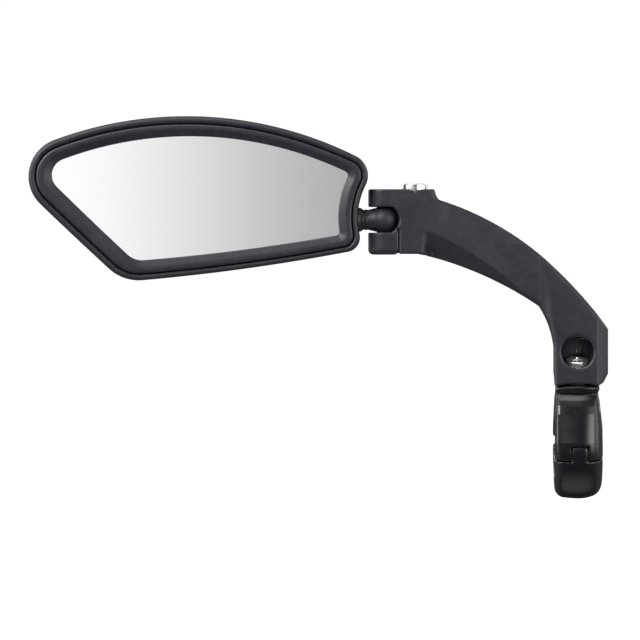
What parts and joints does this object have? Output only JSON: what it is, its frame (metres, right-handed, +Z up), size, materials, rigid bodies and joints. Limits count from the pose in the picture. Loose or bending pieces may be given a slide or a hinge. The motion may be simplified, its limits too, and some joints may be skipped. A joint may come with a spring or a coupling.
{
  "type": "bicycle handlebar mirror",
  "caption": "Wing-shaped glass handlebar mirror on a ball joint, with a curved swivelling arm and a hinged clamp for the bar.",
  "frame": {"origin": "centre of the handlebar in the middle of the clamp ring", "axes": "+X inboard along the bar, +Y ahead in the direction of travel, +Z up; the glass faces -Y, the rider"},
  "size_m": [0.2375, 0.0466, 0.1566],
  "materials": {
    "housing_plastic": "fine moulded texture, satin",
    "bezel_plastic": "fine moulded texture, satin",
    "clear_glass": "polished, clear",
    "silver_coating": "mirror",
    "safety_film": "thin film, satin",
    "black_foam": "closed-cell foam, matte",
    "white_reflective": "retro-reflective tape, semi-gloss",
    "stud_plastic": "smooth, satin",
    "zinc_steel": "zinc plated",
    "seat_plastic": "smooth, matte",
    "arm_plastic": "fine moulded texture, satin",
    "brass": "turned",
    "stainless_steel": "polished stainless",
    "clamp_plastic": "smooth, glossy",
    "liner_rubber": "matte"
  },
  "bodies": {
    "upper_half": {"upper_clamp": "clamp_plastic", "upper_liner": "liner_rubber", "clamp_hinge_pin": "stainless_steel", "clamp_washer": "stainless_steel", "swivel_nut": "zinc_steel", "swivel_bolt": "stainless_steel", "swivel_washer": "stainless_steel", "swivel_seat": "seat_plastic"},
    "lower_half": {"lower_clamp": "clamp_plastic", "lower_liner": "liner_rubber", "clamp_barrel_nut": "stainless_steel"},
    "closing_screw": {"clamp_bolt": "stainless_steel"},
    "arm_body": {"arm": "arm_plastic", "jaw_washer": "stainless_steel"},
    "jaw_screw": {"jaw_bolt": "stainless_steel"},
    "jaw_body": {"lower_jaw": "arm_plastic", "jaw_insert": "brass"},
    "pan_seat": {"ball_seat_upper": "seat_plastic"},
    "nod_seat": {"ball_seat_lower": "seat_plastic"},
    "head": {"rear_housing": "housing_plastic", "bezel": "bezel_plastic", "mirror_glass": "clear_glass", "mirror_coating": "silver_coating", "safety_film": "safety_film", "foam_pad": "black_foam", "stripe_decal": "white_reflective", "ball_stud": "stud_plastic", "stud_screws": "zinc_steel"}
  },
  "joints": [
    {"name": "arm_swivel", "type": "hinge", "parent": "upper_half", "child": "arm_body", "pos_m": [-0.001, -0.00827, 0.02884], "axis": [0, -0.2756, 0.9613], "continuous": true},
    {"name": "head_pan", "type": "hinge", "parent": "arm_body", "child": "pan_seat", "pos_m": [-0.08, -0.008, 0.094], "axis": [0, 0, 1], "range_deg": [-60, 60]},
    {"name": "head_nod", "type": "hinge", "parent": "pan_seat", "child": "nod_seat", "pos_m": [-0.08, -0.008, 0.094], "axis": [0, 1, 0], "range_deg": [-8, 8]},
    {"name": "head_turn", "type": "hinge", "parent": "nod_seat", "child": "head", "pos_m": [-0.08, -0.008, 0.094], "axis": [1, 0, 0], "continuous": true},
    {"name": "jaw_bolt_turn", "type": "hinge", "parent": "arm_body", "child": "jaw_screw", "pos_m": [-0.0676, -0.008, 0.104], "axis": [0, 0, 1], "range_deg": [0, 180]},
    {"name": "jaw_release", "type": "slide", "parent": "arm_body", "child": "jaw_body", "axis": [0, 0, -1], "range_m": [0, 0.0004]},
    {"name": "clamp_bolt_turn", "type": "hinge", "parent": "upper_half", "child": "closing_screw", "pos_m": [0, 0.01503, 0.01471], "axis": [0, -0.2756, 0.9613], "range_deg": [0, 540]},
    {"name": "clamp_open", "type": "hinge", "parent": "upper_half", "child": "lower_half", "pos_m": [0, -0.01651, -0.0012], "axis": [-1, 0, 0], "range_deg": [0, 1.98]}
  ],
  "couplings": [
    {"joint": "jaw_bolt_turn", "follows": "jaw_release", "rad_per_m": 7853.9},
    {"joint": "clamp_bolt_turn", "follows": "clamp_open", "ratio": 272.54}
  ]
}
